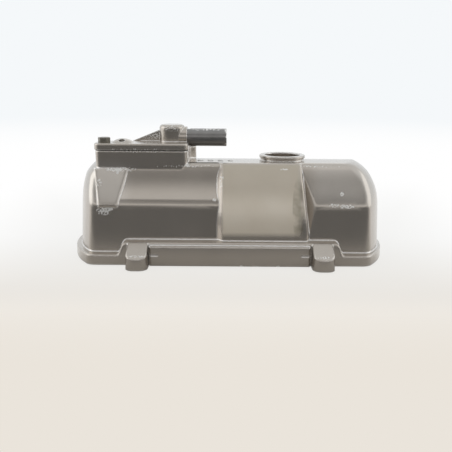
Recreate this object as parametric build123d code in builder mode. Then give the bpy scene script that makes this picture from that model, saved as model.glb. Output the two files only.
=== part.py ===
from build123d import *
import os

# Engine valve cover: a hollow aluminium casting with a breather box and oil filler neck.
# X runs along the cover, -Y is the front with the two lugs, +Z is up, and the flange seal
# stands on Z = 0. All sizes are millimetres.

# ---------------------------------------------------------------- driving dimensions
cover_length = 348.0
flange_depth = 150.0
flange_bulge = 27.5
flange_corner = 13.0
flange_thickness = 11.0
flange_edge_round = 1.5
seal_proud = 1.0
lug_reach = 21.0

raised_top = 25.6
raised_left = -107.4
raised_right = 111.5
raised_slope = 13.0
raised_edge_round = 2.5

wall = 4.5
crown_left_foot = 168.5
crown_right_foot = 171.0
crown_front_inset = 12.5
crown_bulge = 21.0
crown_corner = 11.5
shoulder_height = 63.5
wall_top = 58.0
wall_top_depth = 15.05
crown_height = 104.5
# height, reach to the left and right, depth of the front, and bulge of the ends
crown_levels = [
    (wall_top, 165.6, 168.3, wall_top_depth, 21.0),
    (61.0, 165.4, 168.1, 15.22, 20.9),
    (63.5, 165.2, 167.8, 15.75, 20.7),
    (66.0, 165.0, 167.4, 16.85, 20.3),
    (69.5, 164.7, 166.8, 18.55, 19.7),
    (76.0, 163.9, 165.0, 21.9, 18.3),
    (84.0, 162.0, 161.4, 26.1, 16.5),
    (91.5, 159.2, 156.8, 30.0, 14.5),
    (98.0, 153.8, 150.4, 33.6, 12.5),
    (101.8, 149.6, 144.8, 36.2, 11.8),
    (103.8, 145.6, 140.4, 39.2, 11.2),
    (crown_height, 141.0, 136.0, 43.0, 10.5),
]
crown_level_depth = 62.0
crown_rear_drop = 9.0

recess_left = -133.0
recess_right = 2.0
recess_foot = 12.0
recess_edge = 14.4
recess_edge_height = 63.8
recess_cove_depth = 27.0
recess_cove_height = 82.0
recess_top = 35.0
recess_top_height = 100.0

facet_left_foot = -138.0
facet_right_foot = -118.0
facet_foot = 10.8
facet_foot_height = 59.5
facet_left_top = -145.5
facet_right_top = -108.0
facet_top = 33.4
facet_top_height = 98.2
facet_back = 60.0
facet_side_run = 7.0
facet_round = 3.0

bay_left = -6.4
bay_right_top = 77.5
bay_right_foot = 85.0
bay_foot = 8.0
bay_foot_height = 32.0
bay_middle = 12.2
bay_side_run = 6.6
bay_side_step = 6.0
bay_back = 48.0
bay_round = 4.5

valley_corner = 93.0
valley_foot = 86.3
valley_peak = 78.0
valley_peak_height = 98.0
valley_foot_back = 22.0
valley_peak_back = 36.0
valley_round = 3.0

lug_left = -95.0
lug_right = 98.0
lug_width = 23.0
lug_nose_height = 13.0
lug_nose_radius = 9.0
lug_drop = 0.5

pad_left = -83.0
pad_right = 85.0
pad_proud = 4.0
pad_top = 22.6
pad_edge_round = 1.2
notch_length = 8.0
notch_height = 1.4
notch_depth = 1.2
notch_level = 13.0

outlet_depth = 70.0
box_left = -143.8
box_right = -44.5
box_front = 34.0
box_back = outlet_depth + 28.0
box_left_back = 66.0
box_step = -97.0
box_ear = -38.0
box_ear_depth = outlet_depth + 11.0
box_corner = 3.5
box_front_corner = 8.0
box_wall = 4.0
box_top = 117.0

gasket_thickness = 1.0
lid_thickness = 6.6
lid_overhang = 1.0
lid_skin = 3.2
lid_edge_round = 1.6

outlet_x = -63.5
outlet_boss_diameter = 28.0
outlet_boss_top = 142.7
outlet_boss_round = 4.0
outlet_axis_height = 128.6
outlet_roof = 4.0
hub_diameter = 23.5
hub_end = -46.5
pipe_diameter = 19.3
pipe_wall = 1.6
pipe_end = -3.0
pipe_insertion = 14.0
pipe_shoulder = -43.0
pipe_spigot_diameter = 18.4
pipe_end_chamfer = 0.4

web_start = -107.0
web_top = 136.6
web_thickness = 5.0
dome_x = -115.4
dome_depth = 50.0
dome_diameter = 24.0
dome_height = 4.2
dome_hole_diameter = 7.0
dome_hole_sink = 2.0
dome_hole_forward = 6.5

lid_bolt_places = {
    "front": (-135.0, 47.0),
    "rear": (-80.0, outlet_depth + 20.0),
    "side": (-46.0, outlet_depth + 18.0),
}
bolt_diameter = 6.0
bolt_head_flats = 11.5
bolt_head_height = 4.2
bolt_head_chamfer = 0.5
bolt_end_chamfer = 0.6
bolt_washer_diameter = 13.0
bolt_washer_thickness = 1.2
bolt_length = 19.0
bolt_clearance = 0.3
bolt_boss_diameter = 13.0
bolt_boss_depth = 16.0

neck_x = 59.4
neck_depth = 70.0
neck_diameter = 48.8
neck_bore = 40.0
neck_top = 110.0
neck_rim_width = 1.2
neck_rim_height = 3.2
neck_rim_round = 1.2

seal_width = 3.6
seal_groove_depth = 4.0
seal_inset = 4.0

baffle_thickness = 1.5
baffle_top = 92.0
baffle_lip = 1.0
baffle_front = 39.5
baffle_left = -132.0
baffle_boss_diameter = 9.0
baffle_screw_diameter = 4.0
baffle_screw_head = 7.6
baffle_screw_head_height = 2.4
baffle_screw_chamfer = 0.9
baffle_screw_length = 9.0
baffle_screw_places = [(-130.0, 69.0), (-104.0, 69.0), (-41.5, 54.0), (-64.0, 101.0)]
baffle_slot_length = 16.0
baffle_slot_width = 4.0
baffle_slot_spacing = 9.0
baffle_slot_count = 3
baffle_slot_x = -70.0
demister_size = (36.0, 20.0, 18.0)
demister_x = -106.0
demister_chamfer = 1.5

well_depth = 104.0
well_spacing = 118.0
well_diameter = 26.0
well_floor = 84.0
well_wall = 3.5
stud_hole = 17.0
grommet_flange = 23.0
grommet_lip = 4.0
grommet_chamfer = 0.8
sleeve_bore = 8.4
sleeve_wall = 1.8
sleeve_flange = 19.0
sleeve_flange_thickness = 1.6

crown_pips = 4
crown_pip_spacing = 11.0
crown_pip_size = (6.0, 4.0)
crown_pip_height = 0.7
crown_pip_depth = 57.0
crown_pip_x = -15.0

# ---------------------------------------------------------------- derived places
half_length = cover_length / 2
front = -(flange_depth - lug_reach) / 2
floor_level = seal_proud
flange_top = floor_level + flange_thickness


def at(depth):
    """Y of a place that lies depth behind the flange's front edge."""
    return front + depth


def bowed_outline(left, right, near, far, bulge, corner):
    """Plan outline with straight long sides, bowed ends and rounded corners."""
    middle = (near + far) / 2
    with BuildSketch() as outline:
        with BuildLine():
            Line((bulge - left, near), (right - bulge, near))
            ThreePointArc((right - bulge, near), (right, middle), (right - bulge, far))
            Line((right - bulge, far), (bulge - left, far))
            ThreePointArc((bulge - left, far), (-left, middle), (bulge - left, near))
        make_face()
        fillet(outline.vertices(), corner)
    return outline.sketch


def flange_outline(inset):
    """The flange's plan, or the same plan a distance inside its edge."""
    return bowed_outline(
        half_length - inset,
        half_length - inset,
        at(inset),
        at(flange_depth - inset),
        flange_bulge,
        flange_corner - inset / 2,
    )


def crown_outline(left, right, depth, bulge, inset):
    """The crown's plan at one height, depth being how far its front stands behind the flange's."""
    return bowed_outline(
        left - inset,
        right - inset,
        at(depth + inset),
        at(flange_depth - depth - inset),
        bulge,
        crown_corner,
    )


def crown_body(inset):
    """The plain crown: drafted walls, rounded hips and a top that arches down to the rear."""
    start = wall_top - inset / 2
    level = crown_height - inset
    with BuildPart() as body:
        with BuildSketch(Plane.XY.offset(floor_level)):
            add(crown_outline(crown_left_foot, crown_right_foot, crown_front_inset, crown_bulge, inset))
        with BuildSketch(Plane.XY.offset(start)):
            add(crown_outline(*crown_levels[0][1:], inset))
        loft(ruled=True)
        for height, left, right, depth, bulge in crown_levels:
            rise = (height - wall_top) / (crown_height - wall_top)
            with BuildSketch(Plane.XY.offset(start + rise * (level - start))):
                add(crown_outline(left, right, depth, bulge, inset))
        loft()
        with BuildSketch(Plane.YZ):
            with BuildLine():
                end = at(flange_depth)
                middle = at((crown_level_depth + flange_depth) / 2)
                arch = ThreePointArc(
                    (at(crown_level_depth), level),
                    (middle, level - crown_rear_drop / 2),
                    (end, level - 2 * crown_rear_drop),
                )
                Polyline(arch @ 1, (end, level + wall), (at(crown_level_depth), level + wall), arch @ 0)
            make_face()
        extrude(amount=cover_length, both=True, mode=Mode.SUBTRACT)
    return body.part


def recess_profile(x, shift):
    """Section of the recess, open to the front, moved shift back into the crown."""
    with BuildSketch(Plane.YZ.offset(x)) as section:
        with BuildLine():
            foot = (at(recess_foot + shift), raised_top - shift)
            edge = (at(recess_edge + shift), recess_edge_height - shift / 2)
            cove = (at(recess_cove_depth + shift), recess_cove_height - shift / 2)
            top = (at(recess_top + shift), recess_top_height - shift / 2)
            reach = at(-lug_reach)
            Line(foot, edge)
            ThreePointArc(edge, cove, top)
            Polyline(
                top,
                (top[0] + crown_height - top[1], crown_height + wall),
                (reach, crown_height + wall),
                (reach, foot[1]),
                foot,
            )
        make_face()
    return section.sketch


def recess_cutter(shift):
    """What the recess between the corner facet and the bay takes out of the crown."""
    with BuildPart() as cutter:
        extrude(recess_profile(recess_left, shift), amount=recess_right - recess_left, dir=(1, 0, 0))
    return cutter.part


def facet_section(height, depth, left, right, inset):
    """Plan section of the corner facet's body at one height."""
    with BuildSketch(Plane.XY.offset(height)) as section:
        with BuildLine():
            Polyline(
                (left + inset, at(depth + inset)),
                (right - inset, at(depth + inset)),
                (right - inset + facet_side_run, at(facet_back)),
                (left + inset, at(facet_back)),
                close=True,
            )
        make_face()
    return section.sketch


def facet_body(inset, softness):
    """The wedge at the left corner that carries the breather box on a flat facet."""
    with BuildPart() as facet:
        loft(
            [
                facet_section(facet_foot_height, facet_foot, facet_left_foot, facet_right_foot, inset),
                facet_section(facet_top_height, facet_top, facet_left_top, facet_right_top, inset),
            ],
            ruled=True,
        )
        if softness:
            face = facet.faces().sort_by(Axis.Y)[0]
            fillet(face.edges().group_by(Axis.Z)[:-1], softness)
    return facet.part


def bay_section(height, depth, right, inset):
    """Plan section of the bay at one height, narrower by inset all round."""
    left = bay_left + inset
    right = right - inset
    with BuildSketch(Plane.XY.offset(height)) as section:
        with BuildLine():
            Polyline(
                (left, at(depth + inset)),
                (right, at(depth + inset)),
                (right, at(bay_back)),
                (left - bay_side_run, at(bay_back)),
                (left - bay_side_run, at(depth + inset + bay_side_step)),
                close=True,
            )
        make_face()
    return section.sketch


def bay_body(inset, softness):
    """The proud bay in the middle of the front, leaning back to the crown's edge."""
    middle_right = (bay_right_top + bay_right_foot) / 2
    foot = bay_section(bay_foot_height, bay_foot, bay_right_foot, inset)
    with BuildPart() as bay:
        loft(
            [
                foot,
                bay_section(shoulder_height, bay_middle, middle_right, inset),
                bay_section(crown_height - inset, recess_top + 1, bay_right_top, inset),
            ]
        )
        extrude(foot, amount=bay_foot_height - floor_level, dir=(0, 0, -1))
        if softness:
            nearest = at(recess_top + 1 + inset) + 0.5
            ridges = bay.edges().filter_by_position(Axis.Y, at(0), nearest)
            fillet([edge for edge in ridges if edge.center().Z > floor_level + 1], softness)
    return bay.part


def valley_points():
    """The peak, the corner at the shoulder and the foot of the valley's right ridge."""
    return (
        Vector(valley_peak, at(recess_top - 2), valley_peak_height),
        Vector(valley_corner, at(crown_front_inset + 2), shoulder_height),
        Vector(valley_foot, at(crown_front_inset), raised_top),
    )


def valley_section(height, back, inset):
    """Plan section of the valley between the bay and the right shoulder at one height."""
    peak, corner, foot = valley_points()
    normal = (corner - peak).cross(foot - peak).normalized()

    def wall_x(depth):
        """X of the valley's right wall, a distance inset beyond the true face."""
        beyond = inset - (at(depth) - peak.Y) * normal.Y - (height - peak.Z) * normal.Z
        return peak.X + beyond / normal.X

    near = -lug_reach
    far = back + inset
    with BuildSketch(Plane.XY.offset(height)) as section:
        with BuildLine():
            Polyline(
                (0, at(near)),
                (0, at(far)),
                (wall_x(far), at(far)),
                (wall_x(near), at(near)),
                close=True,
            )
        make_face()
    return section.sketch


def valley_cutter(inset):
    """The wedge that the valley beside the bay takes out of the crown."""
    with BuildPart() as cutter:
        loft(
            [
                valley_section(raised_top - inset, valley_foot_back, inset),
                valley_section(valley_peak_height + inset, valley_peak_back, inset),
            ],
            ruled=True,
        )
    return cutter.part


def crown_shape(inset, facet_softness=0, bay_softness=0):
    """The whole sculpted crown, or the same form a distance inside it."""
    with BuildPart() as crown:
        add(crown_body(inset))
        add(recess_cutter(inset), mode=Mode.SUBTRACT)
        add(valley_cutter(inset), mode=Mode.SUBTRACT)
        add(facet_body(inset, facet_softness))
        add(bay_body(inset, bay_softness))
    return crown.part


def box_outline(inset):
    """Plan of the breather box with its rear ear, drawn in or out by inset."""
    with BuildSketch() as outline:
        with BuildLine():
            Polyline(
                (box_left, at(box_front)),
                (box_right, at(box_front)),
                (box_right, at(box_ear_depth)),
                (box_ear, at(box_ear_depth + 6)),
                (box_ear, at(box_back)),
                (box_step, at(box_back)),
                (box_step, at(box_left_back)),
                (box_left, at(box_left_back)),
                close=True,
            )
        make_face()
        fillet(outline.vertices().group_by(Axis.Y)[0], box_front_corner)
        rear = at(box_front + 2 * box_front_corner)
        fillet(outline.vertices().filter_by_position(Axis.Y, rear, at(box_back) + 1), box_corner)
        if inset:
            offset(amount=-inset, mode=Mode.REPLACE)
    return outline.sketch


def raised_band_profile():
    """Front view of the flange's raised middle, with its S-shaped ends."""
    with BuildSketch(Plane.XZ.offset(-at(0))) as profile:
        with BuildLine():
            low_left = (raised_left - raised_slope, flange_top - 1)
            low_right = (raised_right + raised_slope, flange_top - 1)
            ease = raised_slope * 0.6
            Bezier(
                low_left,
                (low_left[0] + ease, flange_top - 1),
                (raised_left - ease, raised_top),
                (raised_left, raised_top),
            )
            Line((raised_left, raised_top), (raised_right, raised_top))
            Bezier(
                (raised_right, raised_top),
                (raised_right + ease, raised_top),
                (low_right[0] - ease, flange_top - 1),
                low_right,
            )
            Line(low_right, low_left)
        make_face()
    return profile.sketch


def lug(x):
    """One front lug: a drafted foot with a round nose and a sloping top."""
    top = raised_top - lug_drop
    with BuildPart() as foot:
        with BuildSketch(Plane.XY.offset(floor_level)) as plan:
            with Locations((x, at(-lug_reach / 2 + 2))):
                Rectangle(lug_width, lug_reach + 4)
            fillet(plan.vertices().group_by(Axis.Y)[0], lug_nose_radius)
        extrude(amount=top - floor_level, taper=2)
        with BuildSketch(Plane.YZ):
            with BuildLine():
                Polyline(
                    (at(0.5), top),
                    (at(-lug_reach), lug_nose_height),
                    (at(-lug_reach - 5), lug_nose_height),
                    (at(-lug_reach - 5), top + 5),
                    (at(0.5), top + 5),
                    close=True,
                )
            make_face()
        extrude(amount=cover_length, both=True, mode=Mode.SUBTRACT)
        fillet(foot.edges().filter_by_position(Axis.Y, at(-lug_reach - 5), at(-2)).group_by(Axis.Z)[-1], 1.0)
    return foot.part


# ---------------------------------------------------------------- cover casting
well_places = [(step * well_spacing, at(well_depth)) for step in (-1, 0, 1)]
lid_bolt_points = [(x, at(depth)) for x, depth in lid_bolt_places.values()]
baffle_screw_points = [(x, at(depth)) for x, depth in baffle_screw_places]
neck_place = (neck_x, at(neck_depth))

peak, corner, foot = valley_points()

with BuildPart() as crown:
    add(crown_shape(0, facet_round, bay_round))
    ridge = [crown.edges().sort_by_distance((corner + end) / 2)[0] for end in (peak, foot)]
    fillet(ridge, valley_round)

with BuildPart() as well_walls:
    with BuildSketch(Plane.XY.offset(well_floor - wall)):
        with Locations(well_places):
            Circle(well_diameter / 2 + well_wall)
    extrude(amount=crown_height - well_floor)
    add(crown.part, mode=Mode.INTERSECT)

# the flange, its raised band, and the proud panel between the lugs with two small notches
with BuildPart() as flange:
    with BuildSketch(Plane.XY.offset(floor_level)):
        add(flange_outline(0))
    extrude(amount=flange_thickness, taper=1)
    fillet(flange.edges().group_by(Axis.Z)[-1], flange_edge_round)

with BuildPart() as raised_band:
    extrude(raised_band_profile(), amount=crown_front_inset + wall / 2, dir=(0, 1, 0))
    rim = raised_band.faces().sort_by(Axis.Y)[0].edges()
    fillet(rim.sort_by(Axis.Z)[1:], raised_edge_round)

with BuildPart() as panel:
    middle = (pad_left + pad_right) / 2
    with BuildSketch(Plane.XZ.offset(-at(wall))):
        with Locations((middle, (floor_level + pad_top) / 2)):
            Rectangle(pad_right - pad_left, pad_top - floor_level)
    extrude(amount=wall + pad_proud, taper=1)
    fillet(panel.faces().sort_by(Axis.Y)[0].edges(), pad_edge_round)
    with BuildSketch(Plane.XZ.offset(-at(-pad_proud))):
        reach = (pad_right - pad_left - notch_length) / 2 - pad_edge_round
        for side in (-1, 1):
            with Locations((middle + side * reach, notch_level)):
                Rectangle(notch_length, notch_height)
    extrude(amount=-notch_depth, mode=Mode.SUBTRACT)

with BuildPart() as neck_rim:
    with BuildSketch(Plane.XY.offset(neck_top - neck_rim_height)):
        with Locations(neck_place):
            Circle(neck_diameter / 2 + neck_rim_width)
    extrude(amount=neck_rim_height)
    fillet(neck_rim.edges(), neck_rim_round)

with BuildPart() as cover_casting:
    add(flange.part)
    add(raised_band.part)
    add(panel.part)
    for x in (lug_left, lug_right):
        add(lug(x))

    # the crown, then the breather box and the neck that stand on it
    add(crown.part)
    with BuildSketch(Plane.XY.offset(baffle_top)):
        add(box_outline(0))
    extrude(amount=box_top - baffle_top)
    with BuildSketch(Plane.XY.offset(baffle_top)):
        with Locations(neck_place):
            Circle(neck_diameter / 2)
    extrude(amount=neck_top - neck_rim_height / 2 - baffle_top)
    add(neck_rim.part)

    # the hollow under the crown
    add(crown_shape(wall), mode=Mode.SUBTRACT)
    with BuildSketch(Plane.XY.offset(baffle_top)):
        add(box_outline(0))
        with Locations(baffle_screw_points):
            Circle(baffle_boss_diameter / 2)
    extrude(amount=crown_height - wall - baffle_top)
    add(well_walls.part)

    # the breather chamber and the bosses for the lid bolts inside it
    with BuildSketch(Plane.XY.offset(baffle_top)):
        add(box_outline(box_wall))
    extrude(amount=box_top - baffle_top, mode=Mode.SUBTRACT)
    with BuildSketch(Plane.XY.offset(box_top - bolt_boss_depth)):
        with Locations(lid_bolt_points):
            Circle(bolt_boss_diameter / 2)
        add(box_outline(0), mode=Mode.INTERSECT)
    extrude(amount=bolt_boss_depth)

    # holes: lid bolts, baffle screws, hold-down wells and the filler neck
    grip = lid_thickness + gasket_thickness + bolt_washer_thickness
    with Locations(Plane.XY.offset(box_top)):
        with Locations(lid_bolt_points):
            Hole(bolt_diameter / 2, depth=bolt_length - grip + 1)
    with BuildSketch(Plane.XY.offset(baffle_top)):
        with Locations(baffle_screw_points):
            Circle(baffle_screw_diameter / 2)
    extrude(amount=baffle_screw_length - baffle_thickness + 0.5, mode=Mode.SUBTRACT)
    with BuildSketch(Plane.XY.offset(well_floor)):
        with Locations(well_places):
            Circle(well_diameter / 2)
    extrude(amount=crown_height - well_floor + wall, mode=Mode.SUBTRACT)
    with BuildSketch(Plane.XY.offset(well_floor - wall)):
        with Locations(well_places):
            Circle(stud_hole / 2)
    extrude(amount=wall, mode=Mode.SUBTRACT)
    with BuildSketch(Plane.XY.offset(crown_height - 2 * wall)):
        with Locations(neck_place):
            Circle(neck_bore / 2)
    extrude(amount=neck_top - crown_height + 2 * wall, mode=Mode.SUBTRACT)

    # groove for the flange seal
    with BuildSketch(Plane.XY.offset(floor_level)):
        add(flange_outline(seal_inset))
        add(flange_outline(seal_inset + seal_width), mode=Mode.SUBTRACT)
    extrude(amount=seal_groove_depth, mode=Mode.SUBTRACT)

    # four plain pips cast on the crown
    with BuildSketch(Plane.XY.offset(crown_height - 1)):
        with Locations((crown_pip_x, at(crown_pip_depth))):
            with GridLocations(crown_pip_spacing, 1, crown_pips, 1):
                RectangleRounded(*crown_pip_size, 1.5)
    extrude(amount=1 + crown_pip_height)

# ---------------------------------------------------------------- flange seal
with BuildPart() as flange_seal:
    with BuildSketch():
        add(flange_outline(seal_inset))
        add(flange_outline(seal_inset + seal_width), mode=Mode.SUBTRACT)
    extrude(amount=seal_groove_depth + seal_proud)

# ---------------------------------------------------------------- breather lid, gasket and pipe
gasket_level = box_top
lid_level = box_top + gasket_thickness
lid_top = lid_level + lid_thickness
outlet_place = (outlet_x, at(outlet_depth))

with BuildPart() as breather_gasket:
    with BuildSketch(Plane.XY.offset(gasket_level)):
        add(box_outline(0))
        add(box_outline(box_wall), mode=Mode.SUBTRACT)
        with Locations(lid_bolt_points):
            Circle(bolt_boss_diameter / 2)
        add(box_outline(0), mode=Mode.INTERSECT)
        with Locations(lid_bolt_points):
            Circle(bolt_diameter / 2 + bolt_clearance, mode=Mode.SUBTRACT)
    extrude(amount=gasket_thickness)

with BuildPart() as breather_lid:
    with BuildSketch(Plane.XY.offset(lid_level)):
        add(box_outline(-lid_overhang))
    extrude(amount=lid_thickness)
    fillet(breather_lid.edges().group_by(Axis.Z)[-1], lid_edge_round)

    # the gusset web that runs down from the outlet boss
    with BuildSketch(Plane.XZ.offset(-at(outlet_depth))):
        with BuildLine():
            Polyline(
                (web_start, lid_top - 1),
                (outlet_x, lid_top - 1),
                (outlet_x, web_top + 3),
                (outlet_x - outlet_boss_diameter / 2, web_top),
                (web_start, lid_top),
                close=True,
            )
        make_face()
    extrude(amount=web_thickness / 2, both=True)

    # the outlet boss, its side hub and the low dome
    with BuildSketch(Plane.XY.offset(lid_level)):
        with Locations(outlet_place):
            Circle(outlet_boss_diameter / 2)
    extrude(amount=outlet_boss_top - lid_level)
    fillet(breather_lid.edges().group_by(Axis.Z)[-1], outlet_boss_round)
    with BuildSketch(Plane.YZ.offset(outlet_x)):
        with Locations((at(outlet_depth), outlet_axis_height)):
            Circle(hub_diameter / 2)
        with Locations((at(outlet_depth), lid_level + hub_diameter)):
            Rectangle(2 * hub_diameter, 2 * hub_diameter, mode=Mode.INTERSECT)
    extrude(amount=hub_end - outlet_x)
    sphere_radius = (dome_diameter**2 / 4 + dome_height**2) / (2 * dome_height)
    with BuildSketch(Plane.XZ.offset(-at(dome_depth))):
        with BuildLine():
            crest = (dome_x, lid_top + dome_height)
            rim = (dome_x + dome_diameter / 2, lid_top)
            RadiusArc(rim, crest, -sphere_radius)
            Polyline(crest, (dome_x, lid_top - 1), (rim[0], lid_top - 1), rim)
        make_face()
    revolve(axis=Axis((dome_x, at(dome_depth), 0), (0, 0, 1)))

    # the passage from the chamber up and out to the pipe
    with BuildSketch(Plane.XY.offset(lid_level)):
        add(box_outline(box_wall))
        with Locations(lid_bolt_points):
            Circle(bolt_boss_diameter / 2, mode=Mode.SUBTRACT)
    extrude(amount=lid_thickness - lid_skin, mode=Mode.SUBTRACT)
    with BuildSketch(Plane.XY.offset(lid_level)):
        with Locations(outlet_place):
            Circle(outlet_boss_diameter / 2 - outlet_roof)
    extrude(amount=outlet_boss_top - outlet_roof - lid_level, mode=Mode.SUBTRACT)
    with BuildSketch(Plane.YZ.offset(outlet_x)):
        with Locations((at(outlet_depth), outlet_axis_height)):
            Circle(pipe_spigot_diameter / 2)
    extrude(amount=box_ear - outlet_x, mode=Mode.SUBTRACT)
    with BuildSketch(Plane.XY.offset(lid_top - dome_hole_sink)):
        with Locations((dome_x, at(dome_depth - dome_hole_forward))):
            Circle(dome_hole_diameter / 2)
    extrude(amount=dome_height + dome_hole_sink, mode=Mode.SUBTRACT)
    with Locations(Plane.XY.offset(lid_top)):
        with Locations(lid_bolt_points):
            Hole(bolt_diameter / 2 + bolt_clearance)

with BuildPart() as outlet_pipe:
    with BuildSketch(Plane.YZ.offset(hub_end - pipe_insertion)):
        with Locations((at(outlet_depth), outlet_axis_height)):
            Circle(pipe_spigot_diameter / 2)
    extrude(amount=pipe_shoulder - hub_end + pipe_insertion)
    with BuildSketch(Plane.YZ.offset(pipe_shoulder)):
        with Locations((at(outlet_depth), outlet_axis_height)):
            Circle(pipe_diameter / 2)
    extrude(amount=pipe_end - pipe_shoulder)
    chamfer(outlet_pipe.edges().group_by(Axis.X)[-1], pipe_end_chamfer)
    with BuildSketch(Plane.YZ.offset(hub_end - pipe_insertion)):
        with Locations((at(outlet_depth), outlet_axis_height)):
            Circle(pipe_diameter / 2 - pipe_wall)
    extrude(amount=pipe_end - hub_end + pipe_insertion, mode=Mode.SUBTRACT)

# ---------------------------------------------------------------- baffle and demister
with BuildPart() as baffle_plate:
    with BuildSketch(Plane.XY.offset(baffle_top - baffle_thickness)):
        add(box_outline(baffle_lip))
        with Locations((baffle_left, at(baffle_front))):
            Rectangle(cover_length, flange_depth, align=(Align.MIN, Align.MIN), mode=Mode.INTERSECT)
        with Locations(baffle_screw_points):
            Circle(baffle_boss_diameter / 2)
        with Locations(baffle_screw_points):
            Circle(baffle_screw_diameter / 2 + bolt_clearance, mode=Mode.SUBTRACT)
        with Locations((baffle_slot_x, at(outlet_depth))):
            with GridLocations(1, baffle_slot_spacing, 1, baffle_slot_count):
                SlotOverall(baffle_slot_length, baffle_slot_width, mode=Mode.SUBTRACT)
    extrude(amount=baffle_thickness)

with BuildPart() as demister_pad:
    with BuildSketch(Plane.XY.offset(baffle_top)):
        with Locations((demister_x, at(box_front + box_wall + demister_size[1] / 2 + 1))):
            Rectangle(demister_size[0], demister_size[1])
    extrude(amount=demister_size[2])
    chamfer(demister_pad.edges().group_by(Axis.Z)[-1], demister_chamfer)

# ---------------------------------------------------------------- fasteners and grommets
pieces = {
    "cover_casting": cover_casting,
    "flange_seal": flange_seal,
    "breather_lid": breather_lid,
    "breather_gasket": breather_gasket,
    "outlet_pipe": outlet_pipe,
    "baffle_plate": baffle_plate,
    "demister_pad": demister_pad,
}

for place, (x, depth) in lid_bolt_places.items():
    with BuildPart() as washer:
        with BuildSketch(Plane.XY.offset(lid_top)):
            with Locations((x, at(depth))):
                Circle(bolt_washer_diameter / 2)
                Circle(bolt_diameter / 2 + bolt_clearance, mode=Mode.SUBTRACT)
        extrude(amount=bolt_washer_thickness)
    pieces["lid_washer_" + place] = washer

    with BuildPart() as bolt:
        seat = lid_top + bolt_washer_thickness
        with BuildSketch(Plane.XY.offset(seat)):
            with Locations((x, at(depth))):
                RegularPolygon(bolt_head_flats / 2, 6, major_radius=False)
        extrude(amount=bolt_head_height)
        chamfer(bolt.edges().group_by(Axis.Z)[-1], bolt_head_chamfer)
        with BuildSketch(Plane.XY.offset(seat)):
            with Locations((x, at(depth))):
                Circle(bolt_diameter / 2)
        extrude(amount=-bolt_length)
        chamfer(bolt.edges().group_by(Axis.Z)[0], bolt_end_chamfer)
    pieces["lid_bolt_" + place] = bolt

for number, (x, y) in enumerate(baffle_screw_points, start=1):
    with BuildPart() as screw:
        seat = baffle_top - baffle_thickness
        with BuildSketch(Plane.XY.offset(seat)):
            with Locations((x, y)):
                Circle(baffle_screw_head / 2)
        extrude(amount=-baffle_screw_head_height)
        chamfer(screw.edges().group_by(Axis.Z)[0], baffle_screw_chamfer)
        with BuildSketch(Plane.XY.offset(seat)):
            with Locations((x, y)):
                Circle(baffle_screw_diameter / 2)
        extrude(amount=baffle_screw_length)
    pieces[f"baffle_screw_{number}"] = screw

for side, (x, y) in zip(("left", "middle", "right"), well_places):
    sleeve_radius = sleeve_bore / 2 + sleeve_wall
    with BuildPart() as grommet:
        with BuildSketch(Plane.XY.offset(well_floor)):
            with Locations((x, y)):
                Circle(grommet_flange / 2)
        extrude(amount=grommet_lip)
        chamfer(grommet.edges().group_by(Axis.Z)[-1], grommet_chamfer)
        with BuildSketch(Plane.XY.offset(well_floor)):
            with Locations((x, y)):
                Circle(stud_hole / 2)
        extrude(amount=-wall)
        with BuildSketch(Plane.XY.offset(well_floor - wall)):
            with Locations((x, y)):
                Circle(sleeve_radius)
        extrude(amount=wall + grommet_lip, mode=Mode.SUBTRACT)
    pieces["hold_down_grommet_" + side] = grommet

    with BuildPart() as sleeve:
        with BuildSketch(Plane.XY.offset(well_floor - wall)):
            with Locations((x, y)):
                Circle(sleeve_radius)
        extrude(amount=wall + grommet_lip)
        with BuildSketch(Plane.XY.offset(well_floor + grommet_lip)):
            with Locations((x, y)):
                Circle(sleeve_flange / 2)
        extrude(amount=sleeve_flange_thickness)
        with Locations((x, y, well_floor + grommet_lip + sleeve_flange_thickness)):
            Hole(sleeve_bore / 2)
    pieces["hold_down_sleeve_" + side] = sleeve

os.makedirs("parts", exist_ok=True)
for name, piece in pieces.items():
    piece.part.label = name
    export_step(piece.part, f"parts/{name}.step")
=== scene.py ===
"""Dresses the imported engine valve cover: finishes, wear, studio and camera."""

import math

import bpy
from mathutils import Euler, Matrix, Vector


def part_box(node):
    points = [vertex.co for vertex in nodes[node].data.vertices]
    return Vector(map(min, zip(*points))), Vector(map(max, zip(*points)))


bl_info = {
    "name": "Valve Cover Dressing",
    "version": (1, 0, 0),
    "blender": (4, 5, 0),
    "location": "View3D > Sidebar > Valve Cover",
    "description": "Finishes a cast engine valve cover and sets up its studio",
    "category": "Object",
}

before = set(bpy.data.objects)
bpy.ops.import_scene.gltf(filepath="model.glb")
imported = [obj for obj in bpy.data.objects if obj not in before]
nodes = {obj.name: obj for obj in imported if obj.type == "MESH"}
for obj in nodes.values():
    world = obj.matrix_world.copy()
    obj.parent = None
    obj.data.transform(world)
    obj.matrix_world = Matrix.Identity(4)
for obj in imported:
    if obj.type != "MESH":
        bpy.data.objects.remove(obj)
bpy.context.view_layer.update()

MM = 0.001
LUG_REACH = 21 * MM  # how far the lugs stand out in front of the flange
FLANGE_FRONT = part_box("cover_casting")[0][1] + LUG_REACH
PATCH_CROWDING = 0.15  # how much closer the spots of a worn patch stand at its middle
PATCH_FULLNESS = 6.0  # how soon a worn patch is full, going in from its rim


# ---------------------------------------------------------------- colours and nodes
def linear(hex_colour):
    """An sRGB hex value as linear red, green, blue and alpha."""
    channels = [int(hex_colour[i : i + 2], 16) / 255 for i in (1, 3, 5)]
    return [c / 12.92 if c <= 0.04045 else ((c + 0.055) / 1.055) ** 2.4 for c in channels] + [1.0]


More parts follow.
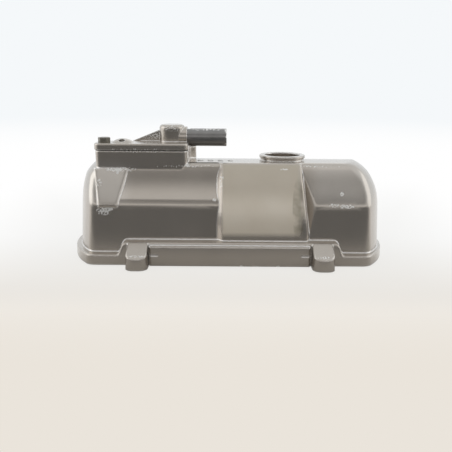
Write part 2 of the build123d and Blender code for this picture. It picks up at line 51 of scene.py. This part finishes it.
def add_node(tree, kind, inputs=None, **settings):
    """Adds one node, sets its properties and fills its inputs.

    An input takes a number, a list, a hex colour, a socket, or a node, whose first output in use is linked.
    """
    node = tree.nodes.new(kind)
    for name, value in settings.items():
        setattr(node, name, value)
    for name, value in (inputs or {}).items():
        if isinstance(value, bpy.types.Node):
            value = next(output for output in value.outputs if output.enabled)
        if isinstance(value, bpy.types.NodeSocket):
            tree.links.new(value, node.inputs[name])
        elif isinstance(value, str):
            node.inputs[name].default_value = linear(value)
        else:
            node.inputs[name].default_value = value
    return node


def new_material(name):
    """An empty node material, its tree and its Object coordinates."""
    material = bpy.data.materials.new(name)
    material.use_nodes = True
    tree = material.node_tree
    tree.nodes.clear()
    return material, tree, add_node(tree, "ShaderNodeTexCoord").outputs["Object"]


def combine(tree, operation, masks):
    """Several masks in one: MULTIPLY keeps what they share, MAXIMUM what any of them has."""
    whole = masks[0]
    for mask in masks[1:]:
        whole = add_node(tree, "ShaderNodeMath", {0: whole, 1: mask}, operation=operation)
    return whole


def slabs(tree, place, sides):
    """A soft mask for each side: its axis, and where it starts, is full, starts to fade and ends."""
    masks = []
    for axis, stops_mm in sides:
        along = add_node(tree, "ShaderNodeSeparateXYZ", {0: place}).outputs[axis]
        start, full, fade, end = (stop * MM for stop in stops_mm)
        rims = []
        for low, high in ((start, full), (end, fade)):
            limits = {"Value": along, "From Min": low, "From Max": high}
            rims.append(add_node(tree, "ShaderNodeMapRange", limits, interpolation_type="SMOOTHSTEP"))
        masks.append(combine(tree, "MULTIPLY", rims))
    return masks


def patch(tree, place, centre_mm, size_mm, grain_mm, share, sharpness=60.0):
    """A mask of broken spots inside an ellipsoid at centre_mm; share is how much of it they fill."""
    centre = [c * MM for c in centre_mm]
    size = [s * MM for s in size_mm]
    moved = add_node(tree, "ShaderNodeVectorMath", {0: place, 1: centre}, operation="SUBTRACT")
    scaled = add_node(tree, "ShaderNodeVectorMath", {0: moved, 1: size}, operation="DIVIDE")
    length = add_node(tree, "ShaderNodeVectorMath", {0: scaled}, operation="LENGTH")
    inside = add_node(tree, "ShaderNodeMath", {0: 1.0, 1: length}, operation="SUBTRACT", use_clamp=True)
    grain = {"Vector": place, "Scale": 1 / (grain_mm * MM), "Detail": 2.0, "Roughness": 0.6}
    grain = add_node(tree, "ShaderNodeTexNoise", grain)
    spots = add_node(tree, "ShaderNodeMath", {0: grain, 1: 1 - share}, operation="SUBTRACT")
    spots = {0: inside, 1: PATCH_CROWDING, 2: spots}
    spots = add_node(tree, "ShaderNodeMath", spots, operation="MULTIPLY_ADD", use_clamp=True)
    spots = add_node(tree, "ShaderNodeMath", {0: spots, 1: sharpness}, operation="MULTIPLY", use_clamp=True)
    rim = {0: inside, 1: PATCH_FULLNESS}
    rim = add_node(tree, "ShaderNodeMath", rim, operation="MULTIPLY", use_clamp=True)
    return combine(tree, "MULTIPLY", [spots, rim])


# ---------------------------------------------------------------- settings
class ValveCoverSettings(bpy.types.PropertyGroup):
    """Colours and sizes that a user would change."""

    paint: bpy.props.StringProperty(
        name="Paint", description="Bronze-silver metallic paint", default="#B4ACA3"
    )
    paint_dark: bpy.props.StringProperty(
        name="Paint, dark", description="Its darker blotches", default="#A49C92"
    )
    edge_mm: bpy.props.FloatProperty(
        name="Edge softness", description="Round of the cover's painted edges, in mm", default=2.8, min=0
    )
    lid_edge_mm: bpy.props.FloatProperty(
        name="Lid edge softness", description="Round of the lid's painted edges, in mm", default=1.4, min=0
    )
    flake_mm: bpy.props.FloatProperty(
        name="Flake", description="Size at which a paint flake is drawn, in mm", default=1.2, min=0.05
    )
    camera_distance: bpy.props.FloatProperty(
        name="Camera distance", description="From the flange's front", default=0.600, unit="LENGTH"
    )
    camera_height: bpy.props.FloatProperty(
        name="Camera height", description="Above the floor", default=0.1914, unit="LENGTH"
    )
    camera_side: bpy.props.FloatProperty(
        name="Camera side", description="Along the cover", default=-0.003, unit="LENGTH"
    )
    camera_pitch: bpy.props.FloatProperty(
        name="Camera pitch", description="Below the horizon", default=math.radians(13.8), subtype="ANGLE"
    )
    camera_roll: bpy.props.FloatProperty(
        name="Camera roll", description="About the line of sight", default=math.radians(0.4), subtype="ANGLE"
    )
    camera_lens: bpy.props.FloatProperty(
        name="Lens", description="Focal length in mm", default=47.55, min=1
    )
    floor_size: bpy.props.FloatProperty(
        name="Floor size", description="Side of the square floor", default=6.0, min=1, unit="LENGTH"
    )
    floor_colour: bpy.props.StringProperty(
        name="Floor", description="The floor in front of the cover", default="#EAE4DB"
    )
    backdrop_colour: bpy.props.StringProperty(
        name="Backdrop", description="The paper round the cover and the far floor", default="#F5F8FA"
    )


def settings():
    """The scene's valve cover settings."""
    return bpy.context.scene.valve_cover


# ---------------------------------------------------------------- worn places, a darker patch and painted light
# centre, half size and grain of each worn place in millimetres, and the share of it that is bare
CHIPS = (
    # foot of the left facet
    ((-132.0, -50.0, 55.5), (9.0, 5.0, 4.5), 2.6, 0.46),
    ((-125.0, -48.0, 59.0), (5.0, 5.0, 3.0), 2.0, 0.46),
    # left facet, the ledge over it and the right foot of the breather box
    ((-137.4, -39.0, 84.8), (4.5, 4.0, 5.0), 2.0, 0.38),
    ((-116.0, -31.5, 97.5), (19.0, 4.0, 3.0), 2.2, 0.44),
    ((-119.0, -31.5, 94.0), (3.0, 3.0, 5.0), 2.0, 0.48),
    ((-44.8, -28.0, 102.0), (3.0, 3.0, 2.2), 1.6, 0.48),
    # crease beside the bay
    ((-15.4, -46.7, 68.0), (2.2, 3.0, 1.8), 1.4, 0.52),
    # right face and its crease
    ((119.4, -43.4, 74.5), (2.2, 3.0, 2.6), 1.6, 0.50),
    ((112.0, -48.0, 63.0), (8.0, 4.0, 2.4), 1.8, 0.44),
    ((124.0, -48.5, 62.0), (9.0, 4.0, 2.6), 1.8, 0.44),
    # foot of the panel
    ((13.5, -68.5, 1.6), (2.6, 2.0, 1.3), 1.0, 0.50),
    ((28.6, -68.5, 1.2), (3.4, 2.0, 1.1), 1.0, 0.50),
    ((51.6, -68.5, 1.4), (2.4, 2.0, 1.3), 1.0, 0.50),
    # noses of the two lugs
    ((-94.0, -80.0, 14.5), (12.0, 3.0, 2.0), 1.6, 0.42),
    ((98.0, -80.0, 14.5), (12.0, 3.0, 2.0), 1.6, 0.42),
    # outlet boss, web and lid edge
    ((-62.0, -8.0, 140.0), (16.0, 12.0, 4.5), 1.6, 0.36),
    ((-84.0, 2.0, 131.0), (18.0, 6.0, 7.0), 1.6, 0.38),
    ((-100.0, -31.0, 117.5), (48.0, 4.0, 2.5), 1.8, 0.34),
    # upper edge of the bay, its left side and the plateau's front edge
    ((58.0, -33.2, 98.7), (5.0, 3.0, 1.1), 1.6, 0.44),
    ((-7.6, -40.0, 84.0), (3.0, 14.0, 14.0), 1.8, 0.34),
    ((-50.0, -29.0, 101.0), (38.0, 4.0, 1.6), 1.8, 0.36),
    ((90.0, -29.0, 101.5), (40.0, 4.0, 1.4), 1.8, 0.33),
)
# the same for the pipe: three at its open end and one along its top
PIPE_CHIPS = (
    ((-3.6, -2.0, 137.0), (2.2, 9.0, 3.0), 1.6, 0.50),
    ((-3.6, -4.0, 131.0), (1.8, 5.0, 7.0), 1.6, 0.40),
    ((-3.6, -2.0, 121.0), (1.8, 9.0, 2.4), 1.6, 0.42),
    ((-24.0, 0.0, 137.6), (22.0, 8.0, 1.4), 2.0, 0.38),
)

# soft blocks in millimetres: where each side starts, is full, starts to fade and ends
BAY = (
    ("X", (-9.0, -5.0, 71.0, 79.0)),
    ("Z", (28.0, 36.0, 101.0, 106.0)),
    ("Y", (-60.0, -59.0, -30.0, -27.0)),
)
SHOULDER = (("Z", (58.0, 72.0, 96.0, 110.0)), ("Y", (-60.0, -58.0, -34.0, -16.0)))
SHOULDER_ENDS = (("X", (80.0, 100.0, 130.0, 165.0)), ("X", (-160.0, -140.0, -120.0, -100.0)))
BAY_DARKER_PATCH = ((73.0, -50.0, 58.0), (7.0, 26.0, 36.0), 14.0, 0.62, 3.0)  # as a worn place, and its sharpness
BAY_FOOT = (0.098, 0.062)  # heights in metres between which the bay's tan, painted in as its brighter light, turns paler
BAY_PAINTED_LIGHT_DARK = ("#B0A593", "#DDD0BB")  # the bay's darker blotches of painted light, at its top and at its foot
BAY_PAINTED_LIGHT_PALE = ("#BEB4A3", "#EFE5D4")  # its paler blotches of painted light
FLAKE = "#C9C2B8"
# painted light: the upper front faces above the creases at both ends are painted paler for their brighter
# light
SHOULDER_PAINTED_LIGHT = "#CFCAC3"
# a darker blotchy patch at the bay's right end
DARKER_PATCH = "#7D7560"
# painted highlight: a near-white laid along every rounded edge, convex and concave
EDGE_PAINTED_HIGHLIGHT = "#F4F1EE"
BARE_METAL = "#E2E0DC"

# ---------------------------------------------------------------- materials
# cosine between the face's normal and its softened one, where the painted edge highlight starts and is full
EDGE_TURN = (0.975, 0.86)
# size in millimetres and detail of the paint's patterns
PAINT_PATTERNS = {"blotches": (60.0, 4.0), "tan": (30.0, 3.0), "sheen": (25.0, 3.0), "ripple": (9.0, 0.0)}
# roughness at its least, its spread over the sheen's pattern, and how much more it is in the bay and chips;
# the smooth paint stays below 0.27, because the denoiser draws lines where it crosses about 0.274
PAINT_ROUGHNESS = (0.19, 0.08, 0.16)
PAINT_METALLIC = 0.9
TINT_DULLS = (0.32, 0.4)  # how much less metallic the bay's tint is at its top, and how much more at its foot
CHIP_DULLS = 0.5  # how much less metallic a chip is
PAINT_RELIEF = 0.06 * MM
CHIP_STEP = 0.6  # depth of a chip as a share of the relief
SHEEN_SPREAD = 0.2  # how far a plain finish's roughness runs from patch to patch


def layered(tree, ground, layers):
    """Colours laid over ground; each layer has its mask, its strength and its colour."""
    for mask, strength, colour in layers:
        share = add_node(tree, "ShaderNodeMath", {0: mask, 1: strength}, operation="MULTIPLY")
        ground = add_node(tree, "ShaderNodeMix", {0: share, 6: ground, 7: colour}, data_type="RGBA")
    return ground


def softened_edges(tree, radius_mm):
    """The normal rounded over the edges, and a mask of the places where it leaves the face's own."""
    soft = add_node(tree, "ShaderNodeBevel", {"Radius": radius_mm * MM}, samples=6)
    shape = add_node(tree, "ShaderNodeNewGeometry").outputs["Normal"]
    turn = add_node(tree, "ShaderNodeVectorMath", {0: soft, 1: shape}, operation="DOT_PRODUCT")
    limits = {"Value": turn, "From Min": EDGE_TURN[0], "From Max": EDGE_TURN[1]}
    return soft, add_node(tree, "ShaderNodeMapRange", limits, interpolation_type="SMOOTHSTEP")


def painted_casting_material(name, edge_mm):
    """Metallic paint sprayed on a die casting: a satin sheen, fine flakes, soft edges with a painted
    highlight, bare chips, and painted light on the bay and on the upper faces at both ends.
    """
    s = settings()
    material, tree, place = new_material(name)
    # real flakes are about 0.05 mm and wouldn't show, so they are drawn as coarse as flake_mm
    pattern = {}
    for use, (size_mm, detail) in {**PAINT_PATTERNS, "flakes": (s.flake_mm, 1.0)}.items():
        grain = {"Vector": place, "Scale": 1 / (size_mm * MM), "Detail": detail}
        pattern[use] = add_node(tree, "ShaderNodeTexNoise", grain)
    bay = combine(tree, "MULTIPLY", slabs(tree, place, BAY))
    height = add_node(tree, "ShaderNodeSeparateXYZ", {0: place}).outputs["Z"]
    limits = {"Value": height, "From Min": BAY_FOOT[0], "From Max": BAY_FOOT[1]}
    lower = add_node(tree, "ShaderNodeMapRange", limits, interpolation_type="SMOOTHSTEP")
    # painted light on the upper front faces above the creases at both ends
    ends = combine(tree, "MAXIMUM", slabs(tree, place, SHOULDER_ENDS))
    ends = combine(tree, "MULTIPLY", [*slabs(tree, place, SHOULDER), ends])
    soft, edge = softened_edges(tree, edge_mm)
    chipped = combine(tree, "MAXIMUM", [patch(tree, place, *chip) for chip in CHIPS])

    # painted light: the bay is painted a paler tan for its brighter light, paler still towards its foot
    tans = [layered(tree, top, [(lower, 1.0, foot)]) for top, foot in (BAY_PAINTED_LIGHT_DARK, BAY_PAINTED_LIGHT_PALE)]
    tan = layered(tree, tans[0], [(pattern["tan"], 1.0, tans[1])])
    layers = (
        (pattern["blotches"], 1.0, s.paint),
        (pattern["flakes"], 0.2, FLAKE),
        # painted light on the bay, a paler tan
        (bay, 0.75, tan),
        # painted light on the upper faces at both ends
        (ends, 0.5, SHOULDER_PAINTED_LIGHT),
        # a darker patch at the bay's right end
        (patch(tree, place, *BAY_DARKER_PATCH), 0.65, DARKER_PATCH),
        # painted highlight along every edge, where the softened normal leaves the face's own
        (edge, 1.0, EDGE_PAINTED_HIGHLIGHT),
        (chipped, 1.0, BARE_METAL),
    )
    # the bay's tan tint and the bare chips are less mirror-like than the paint
    at_top, more_below = TINT_DULLS
    tint = add_node(tree, "ShaderNodeMath", {0: lower, 1: more_below, 2: at_top}, operation="MULTIPLY_ADD")
    tint = combine(tree, "MULTIPLY", [bay, tint])
    dull = add_node(tree, "ShaderNodeMath", {0: chipped, 1: CHIP_DULLS}, operation="MULTIPLY")
    dull = combine(tree, "MAXIMUM", [tint, dull])
    least, uneven, matt = PAINT_ROUGHNESS
    rough = {0: pattern["sheen"], 1: uneven, 2: least}
    rough = add_node(tree, "ShaderNodeMath", rough, operation="MULTIPLY_ADD")
    rough = {0: combine(tree, "MAXIMUM", [bay, chipped]), 1: matt, 2: rough}
    # the paint's slow ripple, and the step down into a chip
    relief = {0: chipped, 1: -CHIP_STEP, 2: pattern["ripple"]}
    relief = add_node(tree, "ShaderNodeMath", relief, operation="MULTIPLY_ADD")
    relief = {"Strength": 0.5, "Distance": PAINT_RELIEF, "Height": relief, "Normal": soft}
    finish = {
        "Base Color": layered(tree, s.paint_dark, layers),
        "Metallic": add_node(tree, "ShaderNodeMath", {0: PAINT_METALLIC, 1: dull}, operation="SUBTRACT"),
        "Roughness": add_node(tree, "ShaderNodeMath", rough, operation="MULTIPLY_ADD"),
        "Coat Weight": 0.5,
        "Coat Roughness": 0.2,
        "Normal": add_node(tree, "ShaderNodeBump", relief),
    }
    shader = add_node(tree, "ShaderNodeBsdfPrincipled", finish)
    add_node(tree, "ShaderNodeOutputMaterial", {"Surface": shader})
    return material


def plain_material(name, colour, dark, metallic, roughness, blotch_mm, grain_mm, depth_mm, chips=()):
    """A blotchy single finish: two tones, uneven roughness, a fine grain and any bare chips."""
    material, tree, place = new_material(name)
    pattern = []
    for size_mm, detail in ((blotch_mm, 4.0), (blotch_mm / 2, 3.0), (grain_mm, 2.0)):
        grain = {"Vector": place, "Scale": 1 / (size_mm * MM), "Detail": detail}
        pattern.append(add_node(tree, "ShaderNodeTexNoise", grain))
    blotches, sheen, grain = pattern
    worn = [(patch(tree, place, *chip), 1.0, BARE_METAL) for chip in chips]
    relief = {"Strength": 0.6, "Distance": depth_mm * MM, "Height": grain}
    rough = {0: sheen, 1: SHEEN_SPREAD, 2: roughness - SHEEN_SPREAD / 2}
    finish = {
        "Base Color": layered(tree, dark, [(blotches, 1.0, colour), *worn]),
        "Metallic": metallic,
        "Roughness": add_node(tree, "ShaderNodeMath", rough, operation="MULTIPLY_ADD"),
        "Normal": add_node(tree, "ShaderNodeBump", relief),
    }
    shader = add_node(tree, "ShaderNodeBsdfPrincipled", finish)
    add_node(tree, "ShaderNodeOutputMaterial", {"Surface": shader})
    return material


def give(material, *names):
    """Puts a material on CAD nodes."""
    for name in names:
        mesh = nodes[name].data
        mesh.materials.clear()
        mesh.materials.append(material)


def starting(prefix):
    """CAD nodes whose names start with prefix."""
    return [name for name in nodes if name.startswith(prefix)]


# ---------------------------------------------------------------- operators
class VALVECOVER_OT_castings(bpy.types.Operator):
    """Paints the cover casting and the breather lid"""

    bl_idname = "valve_cover.castings"
    bl_label = "Castings"

    def execute(self, context):
        s = settings()
        give(painted_casting_material("sprayed_metallic_paint", s.edge_mm), "cover_casting")
        give(painted_casting_material("sprayed_metallic_paint_lid", s.lid_edge_mm), "breather_lid")
        return {"FINISHED"}


class VALVECOVER_OT_seals(bpy.types.Operator):
    """Finishes the flange seal, the breather gasket and the grommets"""

    bl_idname = "valve_cover.seals"
    bl_label = "Seals"

    def execute(self, context):
        # moulded rubber: a soft black with a dull, even haze
        rubber = plain_material(
            "moulded_rubber", "#2A2A2A", "#1C1C1C", metallic=0.0, roughness=0.6,
            blotch_mm=12.0, grain_mm=0.8, depth_mm=0.03,
        )
        give(rubber, "flange_seal", *starting("hold_down_grommet"))
        # pressed gasket fibre: a dark line with no shine
        fibre = plain_material(
            "gasket_fibre", "#4A4742", "#33312E", metallic=0.0, roughness=0.8,
            blotch_mm=6.0, grain_mm=0.5, depth_mm=0.03,
        )
        give(fibre, "breather_gasket")
        return {"FINISHED"}


class VALVECOVER_OT_pipe(bpy.types.Operator):
    """Finishes the outlet pipe"""

    bl_idname = "valve_cover.pipe"
    bl_label = "Outlet pipe"

    def execute(self, context):
        # phosphated steel tube: dark grey with a soft sheen, bright where its end is chipped
        steel = plain_material(
            "phosphated_steel", "#918F8D", "#7A7876", metallic=0.8, roughness=0.34,
            blotch_mm=8.0, grain_mm=0.8, depth_mm=0.03, chips=PIPE_CHIPS,
        )
        give(steel, "outlet_pipe")
        return {"FINISHED"}


class VALVECOVER_OT_fasteners(bpy.types.Operator):
    """Finishes bolts, washers, screws and sleeves"""

    bl_idname = "valve_cover.fasteners"
    bl_label = "Fasteners"

    def execute(self, context):
        # zinc plate gone dull: mid grey, half matt, cloudy over a few millimetres
        zinc = plain_material(
            "dulled_zinc_plate", "#8F8A80", "#6E6A61", metallic=0.8, roughness=0.45,
            blotch_mm=5.0, grain_mm=0.5, depth_mm=0.02,
        )
        give(zinc, *starting("lid_"), *starting("baffle_screw"), *starting("hold_down_sleeve"))
        return {"FINISHED"}


class VALVECOVER_OT_baffle(bpy.types.Operator):
    """Finishes the baffle plate and the demister"""

    bl_idname = "valve_cover.baffle"
    bl_label = "Baffle and demister"

    def execute(self, context):
        # pressed sheet steel: plain, pale and smooth
        sheet = plain_material(
            "pressed_sheet_steel", "#A5A39E", "#8A8883", metallic=0.9, roughness=0.4,
            blotch_mm=20.0, grain_mm=1.0, depth_mm=0.02,
        )
        give(sheet, "baffle_plate")
        # knitted wire: bright loops of 1.5 mm over painted shade for the gaps between them
        wire = plain_material(
            "knitted_wire", "#9A9A96", "#3A3A38", metallic=0.9, roughness=0.4,
            blotch_mm=1.5, grain_mm=0.8, depth_mm=0.4,
        )
        give(wire, "demister_pad")
        return {"FINISHED"}


class VALVECOVER_OT_stage(bpy.types.Operator):
    """Builds the floor, the pale room, the soft boxes and the camera"""

    bl_idname = "valve_cover.stage"
    bl_label = "Stage"

    def execute(self, context):
        s = settings()
        bpy.ops.object.select_all(action="DESELECT")
        bpy.ops.mesh.primitive_plane_add(size=1, location=(0, 0, 0))
        floor = context.object
        floor.name = "floor"
        floor.scale = (s.floor_size, s.floor_size, 1)
        bpy.ops.object.transform_apply(location=True, scale=True)
        floor.data.materials.append(floor_material(s.floor_colour, s.backdrop_colour))
        world_light(s.backdrop_colour)
        for lamp in LAMPS:
            area_light(*lamp)
        context.scene.camera = studio_camera()
        context.scene.view_settings.view_transform = "Standard"
        return {"FINISHED"}


# ---------------------------------------------------------------- stage
# the room in front of the cover, from straight down (0) to straight up (1)
FRONT_LIGHT = (
    (0.0, "#606060"),
    (0.43, "#7A7A7A"),
    (0.50, "#505050"),
    (0.57, "#C8C8C8"),
    (0.60, "#FFFFFF"),
    (0.69, "#FFFFFF"),
    (0.77, "#989898"),
    (0.84, "#989898"),
    (0.91, "#FFFFFF"),
    (1.0, "#FFFFFF"),
)
FRONT_TURN = (-0.15, -0.65)  # Y of the direction at which the front room starts and is full
LIT_FLOOR = "#C2BFBA"  # what the lamps and the room fall on
DIM_FLOOR = "#6A6A6A"  # the same a hand's width in front of the cover, seen only in the paint
NEAR_PAPER = "#FCFCFB"  # the floor's paper close to the cover
PAPER = "#FFFFFF"  # and beside and behind it
FLOOR_GLOW = 0.84  # share of the lit floor near the cover that is even paper white
# where the floor changes, in metres from the cover's middle: along what, start and end of each soft step
FLOOR_STEPS = {
    "behind": ("Y", 0.0, 0.55),
    "sideways": ("X", 0.16, 0.40),
    "ahead": ("Y", -0.10, -0.20),
    "warm": ("Y", 0.08, -0.30),
    "dim": ("Y", -0.11, -0.18),
    "mirrored": ("Y", -0.09, 0.0),
    "far": ("distance", 1.0, 2.8),
}
# name, place in metres, size in metres and power in watts of each soft box
LAMPS = (
    ("back_box", (0.0, 1.7, 1.1), 1.2, 1.0),
    ("left_box", (-1.3, 0.1, 0.5), 1.0, 3.0),
    ("right_box", (1.3, 0.1, 0.5), 1.0, 2.0),
)
LAMP_AIM = (0.0, 0.0, 0.06)  # the cover's middle
SENSOR_MM = 36.0


def floor_material(floor_hex, far_hex):
    """A pale floor that keeps the cover's shadow and fades to the backdrop's colour far away from it."""
    material, tree, place = new_material("pale_floor")
    axes = add_node(tree, "ShaderNodeSeparateXYZ", {0: place}).outputs
    ways = {
        "X": add_node(tree, "ShaderNodeMath", {0: axes["X"]}, operation="ABSOLUTE"),
        "Y": axes["Y"],
        "distance": add_node(tree, "ShaderNodeVectorMath", {0: place}, operation="LENGTH"),
    }
    step = {}
    for name, (way, start, end) in FLOOR_STEPS.items():
        limits = {"Value": ways[way], "From Min": start, "From Max": end}
        step[name] = add_node(tree, "ShaderNodeMapRange", limits, interpolation_type="SMOOTHSTEP")
    beside = combine(tree, "MAXIMUM", [step["behind"], step["sideways"]])
    # the shadow shows on the lit floor near the cover, and away from it all is even paper
    even = {0: combine(tree, "MAXIMUM", [beside, step["ahead"]]), 1: 1 - FLOOR_GLOW, 2: FLOOR_GLOW}
    even = add_node(tree, "ShaderNodeMath", even, operation="MULTIPLY_ADD")
    # the camera sees the paper everywhere, reflections only beside and behind the cover
    path = add_node(tree, "ShaderNodeLightPath").outputs
    mirrored = combine(tree, "MAXIMUM", [path["Is Glossy Ray"], path["Is Transmission Ray"]])
    mirrored = combine(tree, "MULTIPLY", [mirrored, step["mirrored"]])
    seen = combine(tree, "MULTIPLY", [even, combine(tree, "MAXIMUM", [path["Is Camera Ray"], mirrored])])
    colours = ((beside, 1.0, PAPER), (step["warm"], 1.0, floor_hex), (step["far"], 1.0, far_hex))
    sheet = {"Color": layered(tree, NEAR_PAPER, colours), "Strength": 1.0}
    finish = {
        "Base Color": layered(tree, LIT_FLOOR, [(step["dim"], 1.0, DIM_FLOOR)]),
        "Roughness": 0.7,
        "Specular IOR Level": 0.2,
    }
    lit = add_node(tree, "ShaderNodeBsdfPrincipled", finish)
    paper = add_node(tree, "ShaderNodeEmission", sheet)
    both = add_node(tree, "ShaderNodeMixShader", {0: seen, 1: lit, 2: paper})
    add_node(tree, "ShaderNodeOutputMaterial", {"Surface": both})
    return material


def world_light(backdrop_hex):
    """Paper in the backdrop's colour all round; only the room in front of the cover is dimmer."""
    world = bpy.data.worlds.new("pale_room")
    bpy.context.scene.world = world
    world.use_nodes = True
    tree = world.node_tree
    tree.nodes.clear()
    way = add_node(tree, "ShaderNodeTexCoord").outputs["Generated"]
    axes = add_node(tree, "ShaderNodeSeparateXYZ", {0: way}).outputs
    rise = add_node(tree, "ShaderNodeMath", {0: axes["Z"], 1: 0.5, 2: 0.5}, operation="MULTIPLY_ADD")
    front = add_node(tree, "ShaderNodeValToRGB", {"Fac": rise})
    while len(front.color_ramp.elements) < len(FRONT_LIGHT):
        front.color_ramp.elements.new(0.5)
    for element, (position, colour) in zip(front.color_ramp.elements, FRONT_LIGHT):
        element.position = position
        element.color = linear(colour)
    limits = {"Value": axes["Y"], "From Min": FRONT_TURN[0], "From Max": FRONT_TURN[1]}
    ahead = add_node(tree, "ShaderNodeMapRange", limits, interpolation_type="SMOOTHSTEP")
    path = add_node(tree, "ShaderNodeLightPath").outputs
    seen = combine(tree, "MAXIMUM", [path["Is Camera Ray"], path["Is Transmission Ray"]])
    room = layered(tree, backdrop_hex, [(ahead, 1.0, front), (seen, 1.0, backdrop_hex)])
    light = add_node(tree, "ShaderNodeBackground", {"Color": room, "Strength": 1.0})
    add_node(tree, "ShaderNodeOutputWorld", {"Surface": light})


def area_light(name, place, size, power):
    """A square soft box at place that points at the cover's middle."""
    data = bpy.data.lights.new(name, "AREA")
    data.size = size
    data.energy = power
    lamp = bpy.data.objects.new(name, data)
    bpy.context.scene.collection.objects.link(lamp)
    lamp.location = place
    lamp.rotation_euler = (Vector(LAMP_AIM) - Vector(place)).to_track_quat("-Z", "Y").to_euler()


def studio_camera():
    """The camera in front of the flange, a little above the cover and pitched down."""
    s = settings()
    data = bpy.data.cameras.new("camera")
    data.lens = s.camera_lens
    data.sensor_width = SENSOR_MM
    camera = bpy.data.objects.new("camera", data)
    bpy.context.scene.collection.objects.link(camera)
    camera.location = (s.camera_side, FLANGE_FRONT - s.camera_distance, s.camera_height)
    camera.rotation_euler = Euler((math.radians(90) - s.camera_pitch, 0, 0))
    camera.rotation_euler.rotate_axis("Z", s.camera_roll)
    return camera


# ---------------------------------------------------------------- panel and run
class VALVECOVER_PT_panel(bpy.types.Panel):
    """Lists the steps that dress the valve cover"""

    bl_idname = "VALVECOVER_PT_panel"
    bl_label = "Valve Cover"
    bl_space_type = "VIEW_3D"
    bl_region_type = "UI"
    bl_category = "Valve Cover"

    def draw(self, context):
        for name in ValveCoverSettings.__annotations__:
            self.layout.prop(context.scene.valve_cover, name)
        for step in STEPS:
            self.layout.operator(step.bl_idname)


STEPS = (
    VALVECOVER_OT_castings,
    VALVECOVER_OT_seals,
    VALVECOVER_OT_pipe,
    VALVECOVER_OT_fasteners,
    VALVECOVER_OT_baffle,
    VALVECOVER_OT_stage,
)
CLASSES = (ValveCoverSettings, *STEPS, VALVECOVER_PT_panel)


def register():
    """Registers the classes and the scene's settings."""
    for cls in CLASSES:
        bpy.utils.register_class(cls)
    bpy.types.Scene.valve_cover = bpy.props.PointerProperty(type=ValveCoverSettings)


def unregister():
    """Removes what register added."""
    del bpy.types.Scene.valve_cover
    for cls in reversed(CLASSES):
        bpy.utils.unregister_class(cls)


def main():
    """Dresses the cover step by step."""
    register()
    for step in STEPS:
        group, name = step.bl_idname.split(".")
        getattr(getattr(bpy.ops, group), name)()


if __name__ == "__main__":
    main()
